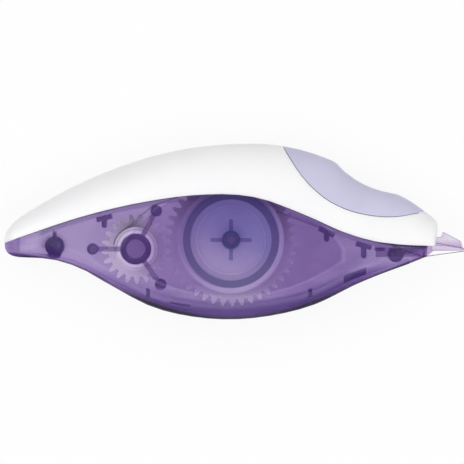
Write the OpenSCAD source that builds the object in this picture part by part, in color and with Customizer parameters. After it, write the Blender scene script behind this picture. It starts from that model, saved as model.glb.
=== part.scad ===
// Correction tape dispenser with a see-through window, lying on its side.
// X runs from the tail to the tip, Y from the window's belly to the cover's crown, Z is the thickness.
// The origin is on the supply reel's axis, in the plane of the lower side pad.

/* [Case] */
// Thickness over the two side pads
body_t = 17; // [16.6:0.2:17.6]
// Height of each side pad above its flank
pad_h = 0.3; // [0.2:0.1:0.5]
// Half thickness at the end of the nose
nose_half = 5; // [4.8:0.1:5.4]
// Half thickness where the tail starts to round off
tail_half = 5.4; // [5:0.1:6]
// Wall of the window shells
shell_wall = 1.2; // [1:0.1:1.3]
// Wall of the window shells under the supply axle, where the belly is lowest
belly_wall = 2.6; // [2:0.1:2.8]
// Wall of the cover and of the grip
cover_wall = 1.4; // [1.2:0.1:1.5]
// Gap between pieces that seat on each other
seat_gap = 0.1; // [0.05:0.05:0.15]
// Height and depth of the rounding along the belly
belly_r = [4.2, 5]; // [3:0.1:6]

/* [Gears] */
// Module of both gears
gear_module = 0.8; // [0.78:0.01:0.8]
// Teeth of the drive gear on the supply axle
drive_teeth = 42; // [42]
// Teeth of the take-up gear
take_up_teeth = 21; // [21]
// Face width of both gears
gear_w = 1.6; // [1.2:0.1:1.8]
// Play between the teeth
backlash = 0.16; // [0.1:0.02:0.24]

/* [Tape] */
// Width of the tape
tape_w = 4.2; // [4:0.1:4.4]
// Thickness of the liner's solid
liner_t = 0.12; // [0.1:0.01:0.15]
// Thickness of the white film's solid
film_t = 0.1; // [0.08:0.01:0.12]
// Outer radius of the fresh roll
roll_r = 14; // [13.2:0.1:14.2]
// Outer radius of the used roll
used_r = 5.8; // [5.4:0.1:6]

/* [Hidden] */
$fn = 64;

mid_z = body_t / 2;
flank_half = mid_z - pad_h;
tongue_step = cover_wall + seat_gap;
eps = 0.01;
over = 1;

// Ends of the case and where their rounding starts
tail_x = -59.75;
tail_round_x = -54;
nose_x = 54.5;
nose_round_x = 53;
nose_r = 1.5;
shell_end_x = 52;
tongue_start_x = -57;
taper_x = 22;

// The nose leans back below this height, by this much per unit of height
lean_y = 3;
lean = 0.17;
lean_start_x = 46;

// Side outlines as knots of smooth curves: crown and belly, the cover's lower edge, the grip's lower edge
crown_line = [
    [-60, 3.2], [-54.6, 6.7], [-46.2, 11.7], [-33.5, 17.7], [-16.6, 23.1], [0, 25.3], [13, 24.9],
    [25.5, 21.4], [27.5, 20.5], [29.8, 18.2], [35, 14.7], [41.5, 12.5], [43.6, 12.1], [51, 7.5], [55, 4.2]
];
belly_line = [
    [-60, -4.6], [-55, -4.6], [-46.2, -5.3], [-40, -7.3], [-31.4, -12.1], [-21, -17.5],
    [-10, -20.2], [0, -20.9], [10, -20], [21.4, -17.2], [34, -11.2], [51, -4.9], [55, -3.6]
];
edge_line = [
    [-60, -0.9], [-52.6, 1.7], [-40, 5.85], [-24.4, 9.65], [-6, 11.95], [0.5, 11.95],
    [6.4, 11.2], [18.8, 6.8], [31, 1.55], [37.3, -0.25], [43.6, -1.1], [55, -1.6]
];
grip_line = [
    [12.9, 25.8], [17.8, 17.7], [22.9, 12.15], [29.4, 8.25], [35.8, 6.5], [42.5, 6], [50.8, 7.3]
];

// Wall along the belly: full in the middle, thin towards the tail and the nose
belly_share = [0.8, 0.86];
belly_wall_line = [
    [-60, shell_wall], [-43, shell_wall], [-22, belly_share[0] * belly_wall], [0, belly_wall],
    [24, belly_share[1] * belly_wall], [41, shell_wall], [55, shell_wall]
];

// Gear train
drive_pitch_r = gear_module * drive_teeth / 2;
take_up_pitch_r = gear_module * take_up_teeth / 2;
mesh_angle = 185.4;
take_up_at = (drive_pitch_r + take_up_pitch_r) * [cos(mesh_angle), sin(mesh_angle)];
pressure_angle = 20;
addendum = gear_module;
dedendum = 1.25 * gear_module;
gear_back = -4.1;
gear_front = gear_back + gear_w;

// Levels across the thickness, from the middle plane
rib_level = 3;
flank_in = flank_half - shell_wall;
root_in = 0.6;
bore_stop = 0.8;
end_gap = 0.2;

// Supply axle, reel and clutch
axle_r = 1.8;
axle_pin_r = 0.9;
run_gap = 0.06;
axle_pin_l = 2.4;
hub_r = 2.5;
axle_base_r = 3;
reel_rim_r = 12.6;
reel_bore_r = 10.7;
reel_half = 2.5;
web_back = -0.7;
web_t = 0.8;
web_disc_r = 9.1;
web_disc_t = 0.4;
gusset_end_r = 5.4;
gusset_w = 1.05;
gusset_level = 3.4;
peg_ring_r = 8.1;
peg_r = 0.8;
peg_count = 3;
peg_turn = 60;
spring_t = 0.5;
spring_mid_r = 9.7;
spring_lobe = 0.55;
spring_w = 1.3;
spring_step = 5;
ring_rib_r = [10.8, 13.2];
ring_rib_shift = [-0.5, 0.5];
ring_rib_level = 5;

// Take-up reel, its tube and the three arms of the front shell
take_up_axle_r = 1.5;
take_up_axle_top = 0.8;
take_up_bore_top = 1.2;
core_r = 4.9;
cup_r = 4.15;
journal_r = 2.45;
journal_top = 2.2;
tube_socket_top = 2.4;
tube_level = 0.3;
tube_bore_r = 2.55;
tube_r = 4;
arm_w = 1.3;
arm_reach = 11.4;
arm_angles = [180, 62, -55];
post_r = 1.5;
post_pin_r = 0.9;
post_pin_l = 3.6;
post_socket = 4;

// Guide post of the return run, bosses of the tail and of the nose
guide_at = [9.5, 17.6];
guide_r = 1.2;
guide_top = 2.6;
tail_boss_at = [-46.5, -1.6];
tail_boss_r = 2.6;
nose_boss_at = [43.4, -3.75];
nose_boss_r = 2.1;
nose_boss_top = -2.3;
tail_pin_r = 1.2;
tail_pin_l = 2.8;
tail_socket = 3.2;
nose_pin_r = 0.65;

// Tip: side plates, blade, guide bar and the blade's edge
plate_in = 2.5;
plate_t = 0.8;
feed_bar_at = [50.4, -3.85];
feed_bar_r = 0.5;
back_bar_at = [53.3, -0.1];
back_bar_r = 0.4;
edge_at = [61.75, -2.6];
edge_r = 0.2;

// Value at x of the smooth curve through the knots k
function span(k, x, i = 0) = i >= len(k) - 2 || x < k[i + 1].x ? i : span(k, x, i + 1);
function rise(k, i) = (k[i + 1].y - k[i].y) / (k[i + 1].x - k[i].x);
function slope(k, i) =
    i == 0 ? rise(k, 0) :
    i == len(k) - 1 ? rise(k, i - 1) :
    let (a = k[i].x - k[i - 1].x, b = k[i + 1].x - k[i].x)
    (rise(k, i - 1) * b + rise(k, i) * a) / (a + b);
function curve(k, x) =
    let (i = span(k, x), w = k[i + 1].x - k[i].x, t = (x - k[i].x) / w)
    k[i].y * (1 + 2 * t) * pow(1 - t, 2) + k[i + 1].y * t * t * (3 - 2 * t)
    + w * t * (1 - t) * (slope(k, i) * (1 - t) - slope(k, i + 1) * t);

// Rounding of the two ends
function tail_f(x) = pow(1 - pow(max(0, (tail_round_x - x) / (tail_round_x - tail_x)), 3), 1 / 3);
function nose_in(x) =
    let (s = max(0, (x - nose_round_x) / (nose_x - nose_round_x)))
    nose_r * (1 - sqrt(1 - s * s));
function middle(x) = (curve(crown_line, x) + curve(belly_line, x)) / 2;
function crown(x) = middle(x) + (curve(crown_line, x) - middle(x)) * tail_f(x) - nose_in(x);
function belly(x) = middle(x) + (curve(belly_line, x) - middle(x)) * tail_f(x);
function edge(x) = middle(x) + (curve(edge_line, x) - middle(x)) * tail_f(x);
function belly_in(x) = curve(belly_wall_line, x);
function half_t(x) =
    let (nose_s = max(0, (x - taper_x) / (nose_x - taper_x)),
         tail_s = max(0, (-taper_x - x) / (-taper_x - tail_round_x)))
    (flank_half - (flank_half - nose_half) * pow(nose_s, 2)
        - (flank_half - tail_half) * pow(min(tail_s, 1), 2)) * tail_f(x) - nose_in(x);

// A point of the case, with the nose's lean
function lean_at(x) = let (s = max(0, min(1, (x - lean_start_x) / (nose_x - lean_start_x)))) lean * s * s;
function leaned(x, y, z) = [x + lean_at(x) * (y - lean_y), y, z];

// Half section of a shell, inset by d, from the belly's middle round the flank to the tongue's crown
belly_steps = 6;
arch_steps = 8;
shoulder = belly_steps + 3;
function shell_curve(x, d) =
    let (h0 = half_t(x), room = edge(x) - seat_gap - belly(x), e = min(d, 0.24 * room),
         y0 = belly(x) + min(d * belly_in(x) / shell_wall, 0.3 * room),
         y1 = edge(x) - seat_gap - e, h = h0 - e,
         ry = min(belly_r.x - e, 0.6 * (y1 - y0)), rz = min(belly_r.y - e, 0.6 * h),
         on = x < tongue_start_x ? 0 : 1,
         zin = on == 1 ? h0 - tongue_step - d : 0.5 * h,
         top = crown(x) - tongue_step - d)
    concat(
        [leaned(x, y0, 0)],
        [for (k = [0:belly_steps]) let (a = 90 * k / belly_steps)
            leaned(x, y0 + ry * (1 - cos(a)), h - rz + rz * sin(a))],
        [leaned(x, y1, h)],
        [for (k = [0:arch_steps]) let (a = 90 * k / arch_steps)
            leaned(x, y1 + on * (top - y1) * sin(a), zin * cos(a))]
    );

// Section of the cover, inset by d, from one lower edge over the crown to the other
cover_steps = 24;
function cover_curve(x, d) =
    let (y0 = edge(x), top = crown(x) - d, h = half_t(x) - d)
    [for (k = [0:cover_steps]) let (a = 180 * k / cover_steps)
        leaned(x, y0 + (top - y0) * sin(a), h * cos(a))];

// Stations along the length
tail_stations = [for (k = [7:-1:1]) tail_round_x - (tail_round_x - tail_x) * 0.998 * sin(90 * k / 7)];
long_stations = concat(
    [for (x = [tail_round_x:4:22]) x],
    [for (x = [24:1:30]) x],
    [for (x = [32.5:2.5:42.5]) x],
    [44, 46, 48]
);
nose_stations = [for (k = [0:5]) nose_round_x + (nose_x - nose_round_x) * sin(90 * k / 5)];
cover_in_x = [tongue_start_x - 0.3, shell_end_x + 0.4];
shell_in_x = [tongue_start_x + shell_wall, shell_end_x - shell_wall];
shell_stations = concat(
    [for (x = tail_stations) if (x < tongue_start_x - 0.5) x],
    [tongue_start_x - eps, tongue_start_x, shell_in_x[0]],
    long_stations,
    [50, shell_in_x[1], shell_end_x]
);
cover_stations = concat(
    [for (x = tail_stations) if (x < cover_in_x[0] - 0.2) x],
    [cover_in_x[0]],
    [for (x = tail_stations) if (x > cover_in_x[0] + 0.2) x],
    long_stations,
    [50, cover_in_x[1]],
    nose_stations
);
function place_of(list, x) = [for (i = [0:len(list) - 1]) if (abs(list[i] - x) < eps / 10) i][0];

// Hub of the fan that closes an end, half way from the curve's start to its knee, in sight of all its points
function fan_hub(c, knee) = (c[0] + c[knee]) / 2;

// A loft open at its base: outer and inner hold one open curve per station, and the inner curves
// start at outer station k1. The base joins the two ends of each curve.
module hollow_loft(outer, inner, k1, knee) {
    n = len(outer);
    m = len(outer[0]);
    p = len(inner[0]);
    k2 = k1 + len(inner) - 1;
    caps = n * m + len(inner) * p;
    function o(i, j) = i * m + j;
    function c(i, j) = n * m + (i - k1) * p + j;
    points = concat(
        [for (s = outer) each s],
        [for (s = inner) each s],
        [for (s = [outer[0], outer[n - 1], inner[0], inner[k2 - k1]]) fan_hub(s, knee)]
    );
    faces = concat(
        [for (i = [0:n - 2], j = [0:m - 2]) each [
            [o(i, j), o(i, j + 1), o(i + 1, j + 1)],
            [o(i, j), o(i + 1, j + 1), o(i + 1, j)]]],
        [for (i = [k1:k2 - 1], j = [0:p - 2]) each [
            [c(i, j), c(i + 1, j), c(i + 1, j + 1)],
            [c(i, j), c(i + 1, j + 1), c(i, j + 1)]]],
        [for (j = [0:m - 1]) let (q = (j + 1) % m) each [
            [caps, o(0, q), o(0, j)],
            [caps + 1, o(n - 1, j), o(n - 1, q)]]],
        [for (j = [0:p - 1]) let (q = (j + 1) % p) each [
            [caps + 2, c(k1, j), c(k1, q)],
            [caps + 3, c(k2, q), c(k2, j)]]],
        [for (i = [k1:k2 - 1]) each [
            [o(i, 0), o(i + 1, 0), c(i + 1, 0), c(i, 0)],
            [o(i + 1, m - 1), o(i, m - 1), c(i, p - 1), c(i + 1, p - 1)]]],
        [for (i = [0:n - 2]) if (i < k1 - 1 || i > k2)
            [o(i, 0), o(i + 1, 0), o(i + 1, m - 1), o(i, m - 1)]],
        [[o(k1 - 1, 0), o(k1, 0), c(k1, 0), c(k1, p - 1), o(k1, m - 1), o(k1 - 1, m - 1)]],
        [[o(k2 + 1, 0), o(k2 + 1, m - 1), o(k2, m - 1), c(k2, p - 1), c(k2, 0), o(k2, 0)]]
    );
    polyhedron(points, faces, convexity = 8);
}

// A closed loft of open curves whose two ends lie on the base
module solid_loft(curves, knee) {
    n = len(curves);
    m = len(curves[0]);
    function o(i, j) = i * m + j;
    polyhedron(
        concat([for (s = curves) each s], [for (s = [curves[0], curves[n - 1]]) fan_hub(s, knee)]),
        concat(
            [for (i = [0:n - 2], j = [0:m - 2]) each [
                [o(i, j), o(i, j + 1), o(i + 1, j + 1)],
                [o(i, j), o(i + 1, j + 1), o(i + 1, j)]]],
            [for (j = [0:m - 1]) let (q = (j + 1) % m) each [
                [n * m, o(0, q), o(0, j)],
                [n * m + 1, o(n - 1, j), o(n - 1, q)]]],
            [for (i = [0:n - 2]) [o(i, 0), o(i + 1, 0), o(i + 1, m - 1), o(i, m - 1)]]
        ),
        convexity = 4
    );
}

// Trims what grows from the flank, so that it ends inside the wall
trim_in = 0.5;
trim_stations = concat([for (x = [-56:8:48]) x], [shell_in_x[1]]);
module inside_wall() {
    intersection() {
        union() {
            children();
        }
        solid_loft([for (x = trim_stations) shell_curve(x, trim_in)], shoulder);
    }
}

// Skin of one half shell, with its parting face on the plane z = 0 and its flank at +z
module shell_skin() {
    k1 = place_of(shell_stations, shell_in_x[0]);
    k2 = place_of(shell_stations, shell_in_x[1]);
    hollow_loft(
        [for (x = shell_stations) shell_curve(x, 0)],
        [for (i = [k1:k2]) shell_curve(shell_stations[i], shell_wall)],
        k1, shoulder
    );
}

// Arch of the cover over both shells, along the given stations, hollow from x onwards
module cover_skin(list, x) {
    k1 = place_of(list, x);
    k2 = place_of(list, cover_in_x[1]);
    hollow_loft(
        [for (s = list) cover_curve(s, 0)],
        [for (i = [k1:k2]) cover_curve(list[i], cover_wall)],
        k1, cover_steps / 2
    );
}

// Lens-shaped pad on the flank, the flat face on which the dispenser lies
pad_rounds = [[0, 34.4, 49], [0, -19, 33.2], [0, -3, 28.9]];
pad_top_gap = 0.5;
pad_root = 0.7;
pad_slope = 2.2;
pad_end_x = 34;
pad_step = 4;
module side_pad() {
    low = flank_half - pad_root;
    intersection() {
        pad_cone(pad_rounds[0], low);
        pad_cone(pad_rounds[1], low);
        pad_cone(pad_rounds[2], low);
        translate([0, 0, low - over])
            linear_extrude(mid_z - low + 2 * over)
                polygon(concat(
                    [[-pad_end_x, belly(0)], [pad_end_x, belly(0)]],
                    [for (x = [pad_end_x:-pad_step:-pad_end_x]) [x, edge(x) - pad_top_gap]]
                ));
    }
}

// One round of the pad's outline, its centre and radius in c, with an edge slanted from level z to the pad's face
module pad_cone(c, z) {
    translate([c.x, c.y, z])
        cylinder(r1 = c.z + pad_slope, r2 = c.z, h = mid_z - z);
}

// A round boss that grows from the flank at the place c, from level z inwards
module flank_boss(c, r, z) {
    root = half_t(c.x) - root_in;
    translate([c.x, c.y, z])
        cylinder(r = r, h = root - z);
}

// A straight rib between two places, of width w, standing on the flank down to level z
module flank_rib(a, b, w, z) {
    d = b - a;
    root = min(half_t(a.x), half_t(b.x)) - root_in;
    translate([a.x, a.y, z])
        rotate(atan2(d.y, d.x))
            translate([0, -w / 2, 0])
                cube([norm(d), w, root - z]);
}

function arm_post(a) = take_up_at + arm_reach * [cos(a), sin(a)];
arm_posts = [for (a = arm_angles) arm_post(a)];

// Sockets for the cover's snaps: a bar below the cover's edge at x, with a leg that runs down to y
snap_bar = [4, 1.3];
snap_leg_w = 1.3;
snap_level = 0.3;
snap_places = [[-33.4, 3.8], [25.2, 0.2], [35, -4.2]];
module snap_sockets() {
    for (s = snap_places) {
        drop = shell_wall + snap_bar.y / 2;
        ends = [for (dx = [-0.5, 0.5] * snap_bar.x) [s.x + dx, edge(s.x + dx) - drop]];
        flank_rib(ends[0], ends[1], snap_bar.y, snap_level);
        flank_rib([s.x, edge(s.x) - drop], [s.x, s.y], snap_leg_w, snap_level);
        flank_boss([s.x, s.y], snap_leg_w / 2, snap_level);
    }
}

// Ledge under the cover's edge, behind the nose
ledge_w = 0.6;
ledge_ends = [[11.9, 7.6], [23.5, 3.3]];
ledge_depth = 2.5;
module ledge() {
    flank_rib(ledge_ends[0], ledge_ends[1], ledge_w, flank_in - ledge_depth);
}

// Tabs and stops on the belly wall that line the halves up, between two places along the length
tab_depth = 2.6;
tab_places = [[-22.4, -21.4, 2.2], [-16, -10.8, 0.5], [20.4, 21.4, 2.2], [29.8, 35.6, 1.8]];
tab_steps = 4;
module belly_tabs() {
    for (t = tab_places) {
        xs = [for (k = [0:tab_steps]) t[0] + (t[1] - t[0]) * k / tab_steps];
        linear_extrude(tab_depth)
            polygon(concat(
                [for (x = xs) [x, belly(x) + shell_wall / 2]],
                [for (k = [tab_steps:-1:0]) [xs[k], belly(xs[k]) + belly_in(xs[k]) + t[2]]]
            ));
    }
}

// Boss of the tail with the stalk above it and the wedge that runs down to the belly
tail_rib_w = 1;
tail_rib_y = [-6, 2.4];
tail_rib_level = 1.6;
tail_wedge_turn = 35;
module tail_boss() {
    c = tail_boss_at;
    side = tail_boss_r * [cos(tail_wedge_turn), -sin(tail_wedge_turn)];
    flank_boss(c, tail_boss_r, 0);
    flank_rib(c, [c.x, tail_rib_y[1]], tail_rib_w, tail_rib_level);
    translate([c.x, 0, tail_rib_level])
        linear_extrude(half_t(c.x) - root_in - tail_rib_level)
            polygon([
                [-side.x, c.y + side.y], [-tail_rib_w / 2, tail_rib_y[0]],
                [tail_rib_w / 2, tail_rib_y[0]], [side.x, c.y + side.y], [0, c.y]
            ]);
}

// Mouth for the tip and the slot for the tape below it, one cut at the nose
mouth_half = 3.5;
mouth_x = 46.5;
mouth_y = [-3.2, 1];
slot_x = 47;
slot_y = -8;
module nose_cut() {
    end_x = nose_x + over;
    translate([0, 0, -mouth_half])
        linear_extrude(2 * mouth_half)
            polygon([
                [mouth_x, mouth_y[0]], [slot_x, mouth_y[0]], [slot_x, slot_y],
                [end_x, slot_y], [end_x, mouth_y[1]], [mouth_x, mouth_y[1]]
            ]);
}

module front_shell() {
    color([0.5, 0.42, 0.72, 0.6])
        translate([0, 0, mid_z])
            difference() {
                union() {
                    shell_skin();
                    side_pad();
                    front_bosses();
                    belly_tabs();
                    nose_pin();
                    inside_wall() {
                        snap_sockets();
                        ring_rib();
                        ledge();
                        tail_boss();
                        nose_boss();
                    }
                }
                nose_cut();
                front_bores();
            }
}

// Rib that runs round the reel's rim, thicker towards the tail and the cover
module ring_rib() {
    difference() {
        flank_boss(ring_rib_shift, ring_rib_r[1], ring_rib_level);
        translate([0, 0, ring_rib_level - over])
            cylinder(r = ring_rib_r[0], h = mid_z);
    }
}

// Hub with its gussets over the reel, tube and arms over the take-up, posts and sockets
module front_bosses() {
    flank_boss([0, 0], hub_r, rib_level);
    for (a = [0:90:270])
        flank_rib(polar(hub_r - root_in, a), polar(gusset_end_r, a), gusset_w, gusset_level);
    flank_boss(take_up_at, tube_r, tube_level);
    for (p = arm_posts) {
        u = (p - take_up_at) / norm(p - take_up_at);
        flank_rib(take_up_at + (tube_r - root_in) * u, p, arm_w, rib_level);
        flank_boss(p, post_r, 0);
    }
}

module front_bores() {
    pin_hole(axle_pin_r + seat_gap / 2, [0, 0], rib_level - over, flank_in - bore_stop);
    pin_hole(tube_bore_r, take_up_at, tube_level - over, tube_socket_top);
    for (p = arm_posts)
        pin_hole(post_pin_r + seat_gap / 2, p, -over, post_socket);
    pin_hole(tail_pin_r + seat_gap / 2, tail_boss_at, -over, tail_socket);
}

module pin_hole(r, c, z0, z1) {
    translate([c.x, c.y, z0])
        cylinder(r = r, h = z1 - z0);
}

// Boss, cut off below the cover's edge, that bears on one side plate of the tip, and the rails beside it
rail_ends = [[[37.8, -2.3], [40.5, -2.4]], [[45.4, -3.1], [49.4, -3.4]]];
rail_w = [1.1, 1.3];
module nose_boss() {
    level = plate_in + plate_t + seat_gap;
    difference() {
        flank_boss(nose_boss_at, nose_boss_r, level);
        translate([nose_boss_at.x - nose_boss_r, nose_boss_top, level - over])
            cube([2 * nose_boss_r, nose_boss_r, mid_z]);
    }
    for (k = [0:len(rail_ends) - 1])
        flank_rib(rail_ends[k][0], rail_ends[k][1], rail_w[k], level);
}

module nose_pin() {
    translate([nose_boss_at.x, nose_boss_at.y, plate_in])
        cylinder(r = nose_pin_r, h = plate_t + over);
}

module rear_shell() {
    color([0.45, 0.37, 0.68, 0.6])
        translate([0, 0, mid_z])
            mirror([0, 0, 1])
                difference() {
                    union() {
                        shell_skin();
                        side_pad();
                        rear_posts();
                        belly_tabs();
                        nose_pin();
                        inside_wall() {
                            snap_sockets();
                            ledge();
                            tail_boss();
                            nose_boss();
                            flank_boss(guide_at, guide_r, 0);
                        }
                    }
                    nose_cut();
                }
}

// Axles, guide post and the posts whose pins enter the front shell, in the mirrored half
module rear_posts() {
    base = end_gap - gear_back;
    flank_boss([0, 0], axle_base_r, base);
    flank_boss([0, 0], axle_r, end_gap - rib_level);
    flank_boss([0, 0], axle_pin_r, -rib_level - axle_pin_l);
    flank_boss(take_up_at, hub_r, base);
    flank_boss(take_up_at, take_up_axle_r, -take_up_axle_top);
    for (p = arm_posts) {
        flank_boss(p, post_r, 0);
        flank_boss(p, post_pin_r, -post_pin_l);
    }
    pin(guide_at, guide_r, guide_top);
    pin(tail_boss_at, tail_pin_r, tail_pin_l);
}

// A pin that stands out of the parting plane by l, and is rooted in the boss behind it
module pin(c, r, l) {
    translate([c.x, c.y, -l])
        cylinder(r = r, h = l + over);
}

// Window of the cover that takes the grip, in the side view, shrunk by d
grip_steps = 20;
grip_over = [2, 4];
module grip_window(d) {
    x0 = grip_line[0].x;
    x1 = grip_line[len(grip_line) - 1].x;
    offset(delta = -d)
        polygon(concat(
            [for (k = [0:grip_steps]) let (x = x0 + (x1 - x0) * k / grip_steps) [x, curve(grip_line, x)]],
            [[x1 + grip_over.x, crown(x1) + grip_over.y], [x0, crown(x0) + grip_over.y]]
        ));
}

module top_cover() {
    color("white")
        translate([0, 0, mid_z])
            difference() {
                cover_skin(cover_stations, cover_in_x[0]);
                translate([0, 0, -mid_z])
                    linear_extrude(body_t)
                        grip_window(0);
                nose_cut();
            }
}

grip_loft_x = [6, 10];
module finger_grip() {
    color([0.77, 0.76, 0.87])
        translate([0, 0, mid_z])
            intersection() {
                cover_skin([for (x = cover_stations) if (x >= grip_loft_x[0]) x], grip_loft_x[1]);
                translate([0, 0, -mid_z])
                    linear_extrude(body_t)
                        grip_window(1.5 * seat_gap);
            }
}

// Side plate of the tip, in the side view: shank in the nose and flange outside
plate_outline = [
    [38.3, -2.1], [50.8, -2.1], [52.6, 0.7], [55.6, 0.8], [56, 2.1], [60.6, -0.3],
    [61.1, -2.3], [60.6, -2.8], [53.4, -2.8], [51.6, -4.3], [38.3, -4.5]
];
blade_outline = [
    [53, -2.6], [53, -1.45], [57, -1.7], [61.75, -2.4], [61.95, -2.6], [61.75, -2.8], [57, -2.65]
];

module applicator_tip() {
    color([0.9, 0.86, 0.94, 0.7])
        translate([0, 0, mid_z])
            difference() {
                union() {
                    for (side = [-1, 1])
                        translate([0, 0, side * (plate_in + plate_t / 2) - plate_t / 2])
                            linear_extrude(plate_t)
                                polygon(plate_outline);
                    translate([0, 0, -plate_in - plate_t / 2])
                        linear_extrude(2 * plate_in + plate_t)
                            polygon(blade_outline);
                    cross_bar(feed_bar_at, feed_bar_r);
                    cross_bar(back_bar_at, back_bar_r);
                }
                translate([nose_boss_at.x, nose_boss_at.y, -mid_z])
                    cylinder(r = nose_pin_r + seat_gap / 2, h = body_t);
            }
}

// A round bar between the tip's side plates
module cross_bar(c, r) {
    translate([c.x, c.y, -plate_in - plate_t / 2])
        cylinder(r = r, h = 2 * plate_in + plate_t);
}

// Involute gear outline with a tooth on the angle 0
function involute(r, rb) = r <= rb ? 0 : let (a = acos(rb / r)) tan(a) * 180 / PI - a;
function polar(r, a) = r * [cos(a), sin(a)];
flank_steps = 4;
module gear_outline(teeth) {
    rp = gear_module * teeth / 2;
    rb = rp * cos(pressure_angle);
    rf = rp - dedendum;
    ra = rp + addendum;
    half = 90 / teeth - backlash / rp / 4 * 180 / PI + involute(rp, rb);
    radii = [for (k = [0:flank_steps]) rf + (ra - rf) * k / flank_steps];
    polygon([for (t = [0:teeth - 1]) let (c = 360 * t / teeth) each concat(
        [for (r = radii) polar(r, c - half + involute(r, rb))],
        [for (k = [flank_steps:-1:0]) polar(radii[k], c + half - involute(radii[k], rb))]
    )]);
}

module drive_gear() {
    color([0.9, 0.88, 0.94])
        translate([0, 0, mid_z])
            difference() {
                union() {
                    translate([0, 0, gear_back])
                        rotate(mesh_angle)
                            linear_extrude(gear_w)
                                gear_outline(drive_teeth);
                    for (k = [1:peg_count])
                        rotate(peg_turn + 360 * k / peg_count)
                            translate([peg_ring_r, 0, gear_back])
                                cylinder(r = peg_r, h = web_back - 2 * end_gap - gear_back);
                }
                translate([0, 0, gear_back - over])
                    cylinder(r = axle_r + run_gap, h = gear_w + 2 * over);
            }
}

// Lobed spring ring: it sits on the gear's three pegs and drags on the reel's bore
module clutch_spring() {
    outline = [for (a = [0:spring_step:359]) polar(spring_mid_r + spring_lobe * cos(peg_count * a), a)];
    color([0.7, 0.7, 0.75])
        translate([0, 0, mid_z + gear_front + run_gap])
            linear_extrude(spring_w)
                difference() {
                    polygon([for (p = outline) p * (1 + spring_t / 2 / spring_mid_r)]);
                    polygon([for (p = outline) p * (1 - spring_t / 2 / spring_mid_r)]);
                }
}

module supply_reel() {
    color([0.55, 0.58, 0.8])
        translate([0, 0, mid_z])
            rotate_extrude()
                polygon([
                    [axle_r + run_gap, gear_front + end_gap], [hub_r, gear_front + end_gap], [hub_r, web_back],
                    [reel_bore_r, web_back], [reel_bore_r, end_gap - reel_half],
                    [reel_rim_r, end_gap - reel_half], [reel_rim_r, reel_half],
                    [reel_bore_r, reel_half], [reel_bore_r, web_back + web_t],
                    [web_disc_r, web_back + web_t], [web_disc_r, web_back + web_t + web_disc_t],
                    [hub_r, web_back + web_t + web_disc_t], [hub_r, reel_half], [axle_r + run_gap, reel_half]
                ]);
}

module supply_tape() {
    color([0.95, 0.94, 0.96])
        translate([0, 0, mid_z - tape_w / 2])
            difference() {
                cylinder(r = roll_r, h = tape_w);
                translate([0, 0, -over])
                    cylinder(r = reel_rim_r, h = tape_w + 2 * over);
            }
}

module take_up_reel() {
    color([0.92, 0.9, 0.95])
        translate([take_up_at.x, take_up_at.y, mid_z])
            difference() {
                union() {
                    translate([0, 0, gear_back])
                        rotate(mesh_angle + 180 + 180 / take_up_teeth)
                            linear_extrude(gear_w)
                                gear_outline(take_up_teeth);
                    difference() {
                        translate([0, 0, gear_back])
                            cylinder(r = core_r, h = rib_level - 2 * end_gap - gear_back);
                        translate([0, 0, tube_level - end_gap])
                            cylinder(r = cup_r, h = rib_level);
                    }
                    cylinder(r = journal_r, h = journal_top);
                }
                translate([0, 0, gear_back - over])
                    cylinder(r = take_up_axle_r + run_gap, h = take_up_bore_top + over - gear_back);
            }
}

module used_tape() {
    color([0.88, 0.86, 0.82])
        translate([take_up_at.x, take_up_at.y, mid_z - tape_w / 2])
            difference() {
                cylinder(r = used_r, h = tape_w);
                translate([0, 0, -over])
                    cylinder(r = core_r, h = tape_w + 2 * over);
            }
}

// A tape run is a list of guides, each a centre and a radius that is positive where the guide lies to the
// left of the run. All angles are those of the normal that points to the right of the run.
function leave_angle(a, b) =
    let (d = b[0] - a[0]) atan2(d.y, d.x) - acos((a[1] - b[1]) / norm(d));
wrap_steps = 6;
function wrap(guide, g, a0, a1) =
    let (turn = a1 - a0 - 360 * round((a1 - a0) / 360))
    [for (k = [0:wrap_steps]) guide[0] + polar(guide[1] + g, a0 + turn * k / wrap_steps)];

// The run's line, moved by g to its right, turning by the angle lead on the first guide or by the angle
// tail on the last
function run_line(guides, g, lead, tail) =
    let (n = len(guides), a = [for (k = [0:n - 2]) leave_angle(guides[k], guides[k + 1])])
    [for (k = [0:n - 1]) each wrap(
        guides[k], g,
        k == 0 ? a[0] + lead : a[k - 1],
        k == n - 1 ? a[n - 2] + tail : a[k]
    )];

// A strip of tape along a run, between two distances to its right
module strip(guides, g0, g1, lead, tail) {
    far = run_line(guides, g1, lead, tail);
    translate([0, 0, mid_z - tape_w / 2])
        linear_extrude(tape_w)
            polygon(concat(run_line(guides, g0, lead, tail), [for (k = [len(far) - 1:-1:0]) far[k]]));
}

roll_clear = 0.12;
guide_clear = 0.04;
roll_lead = 40;
used_tail = 40;
feed_guides = [
    [[0, 0], -roll_r - roll_clear - liner_t - film_t],
    [feed_bar_at, feed_bar_r + guide_clear],
    [edge_at, edge_r + guide_clear]
];
return_guides = [
    [edge_at, edge_r + guide_clear],
    [back_bar_at, -back_bar_r - guide_clear - liner_t],
    [guide_at, guide_r + guide_clear],
    [arm_posts[1], post_r + guide_clear],
    [take_up_at, used_r + roll_clear]
];
edge_tail = -leave_angle(feed_guides[1], feed_guides[2]);
edge_lead = -leave_angle(return_guides[0], return_guides[1]);

module feed_liner() {
    color([0.85, 0.85, 0.88])
        strip(feed_guides, 0, liner_t, roll_lead, edge_tail);
}

module white_film() {
    color("white")
        strip(feed_guides, liner_t, liner_t + film_t, roll_lead, edge_tail);
}

module return_liner() {
    color([0.85, 0.85, 0.88])
        strip(return_guides, 0, liner_t, edge_lead, used_tail);
}

front_shell();
rear_shell();
top_cover();
finger_grip();
applicator_tip();
drive_gear();
clutch_spring();
supply_reel();
supply_tape();
take_up_reel();
used_tape();
feed_liner();
white_film();
return_liner();
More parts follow.
